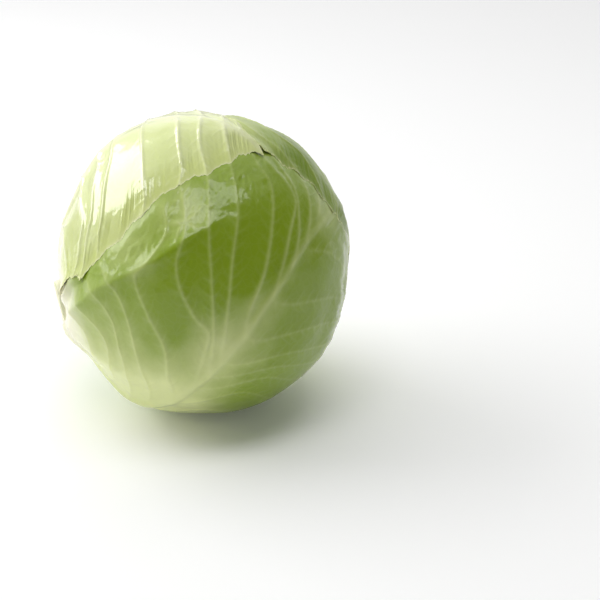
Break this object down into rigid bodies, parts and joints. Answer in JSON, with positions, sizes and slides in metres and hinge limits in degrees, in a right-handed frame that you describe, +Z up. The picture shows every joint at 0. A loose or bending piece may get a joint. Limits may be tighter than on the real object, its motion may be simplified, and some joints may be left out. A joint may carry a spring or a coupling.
{
  "type": "cabbage head",
  "caption": "Whole green cabbage lying on its side: a cut stem and a heart of packed leaves wrapped in large ribbed, wavy-edged leaves; rests on a small flat spot.",
  "frame": {"origin": "middle of the small flat spot that the head rests on", "axes": "+Z up from the surface that it lies on; the cut stem points to -X, 14.5 degrees towards -Y and 9.9 degrees below the horizontal; -Y is the side that shows the front leaf"},
  "size_m": [0.1783, 0.1797, 0.1801],
  "materials": {
    "stem": "cut stem: moist cream-white pith, slightly dried and browned at the cut",
    "heart_leaf": "pale yellow-green packed inner leaves, waxy satin",
    "under_leaf": "light green wrapper leaf with pale ribs, waxy satin",
    "inner_leaf": "pale green leaf under the crown leaf, waxy satin",
    "front_leaf": "mid green wrapper leaf, darker towards its tip, with pale ribs and a fine vein net, glossy wax",
    "back_leaf": "mid green wrapper leaf with pale ribs, waxy satin",
    "crown_leaf": "pale yellow-green wrapper leaf with near-white ribs, glossy wax"
  },
  "bodies": {
    "root": {"stem": "stem", "heart": "heart_leaf", "leaf_under": "under_leaf", "leaf_inner": "inner_leaf", "leaf_front": "front_leaf", "leaf_back": "back_leaf", "leaf_crown": "crown_leaf"}
  },
  "joints": []
}
